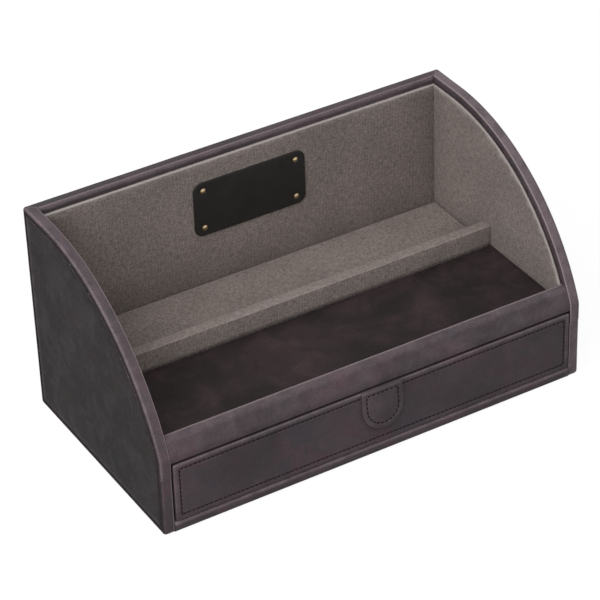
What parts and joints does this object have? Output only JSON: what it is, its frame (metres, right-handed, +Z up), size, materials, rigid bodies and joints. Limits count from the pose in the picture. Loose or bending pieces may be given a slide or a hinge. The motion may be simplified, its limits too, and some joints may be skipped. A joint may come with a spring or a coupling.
{
  "type": "charging station organizer",
  "caption": "Leather-covered desk organizer with curved ends, a front tray, a lift-out platform over a power strip bay, and a drawer with a pull tab.",
  "frame": {"origin": "middle of the footprint, on the surface that the case stands on", "axes": "+X to the right seen from the front, +Y from the drawer to the back wall, +Z up"},
  "size_m": [0.33, 0.1847, 0.1617],
  "materials": {
    "case_leather": "distressed matt, grey-brown",
    "tray_leather": "distressed matt, near black",
    "patch_leather": "smooth matt, bare",
    "lining_canvas": "fine canvas weave, taupe",
    "fibreboard": "unpainted fibreboard",
    "base_felt": "dark felt",
    "glide_plastic": "matt black",
    "rivet_brass": "aged brass"
  },
  "bodies": {
    "case": {"left_side_leather": "case_leather", "right_side_leather": "case_leather", "back_leather": "case_leather", "sill_leather": "case_leather", "front_rail_leather": "case_leather", "tray_mat": "tray_leather", "label_patch": "patch_leather", "divider_canvas": "lining_canvas", "left_liner_canvas": "lining_canvas", "right_liner_canvas": "lining_canvas", "back_liner_canvas": "lining_canvas", "left_side_board": "fibreboard", "right_side_board": "fibreboard", "back_board": "fibreboard", "base_board": "fibreboard", "front_rail_board": "fibreboard", "deck_board": "fibreboard", "partition_board": "fibreboard", "left_liner_core": "fibreboard", "right_liner_core": "fibreboard", "back_liner_core": "fibreboard", "cleat_left": "fibreboard", "cleat_right": "fibreboard", "cleat_back": "fibreboard", "base_felt": "base_felt", "drawer_glide_left": "glide_plastic", "drawer_glide_right": "glide_plastic", "cord_grommet": "glide_plastic", "patch_rivets": "rivet_brass"},
    "platform": {"platform_board": "fibreboard", "platform_canvas": "lining_canvas"},
    "drawer": {"drawer_front_board": "fibreboard", "drawer_front_leather": "case_leather", "drawer_left_side": "fibreboard", "drawer_right_side": "fibreboard", "drawer_back": "fibreboard", "drawer_bottom": "fibreboard", "drawer_lining": "lining_canvas", "pull_tab_root": "case_leather"},
    "pull_tab": {"pull_tab": "case_leather"}
  },
  "joints": [
    {"name": "drawer_slide", "type": "slide", "parent": "case", "child": "drawer", "axis": [0, -1, 0], "range_m": [0, 0.07]},
    {"name": "platform_lift", "type": "slide", "parent": "case", "child": "platform", "axis": [0, 0, 1], "range_m": [0, 0.105]},
    {"name": "pull_tab_flex", "type": "hinge", "parent": "drawer", "child": "pull_tab", "pos_m": [0.0025, -0.09175, 0.0478], "axis": [-1, 0, 0], "range_deg": [0, 80]}
  ]
}
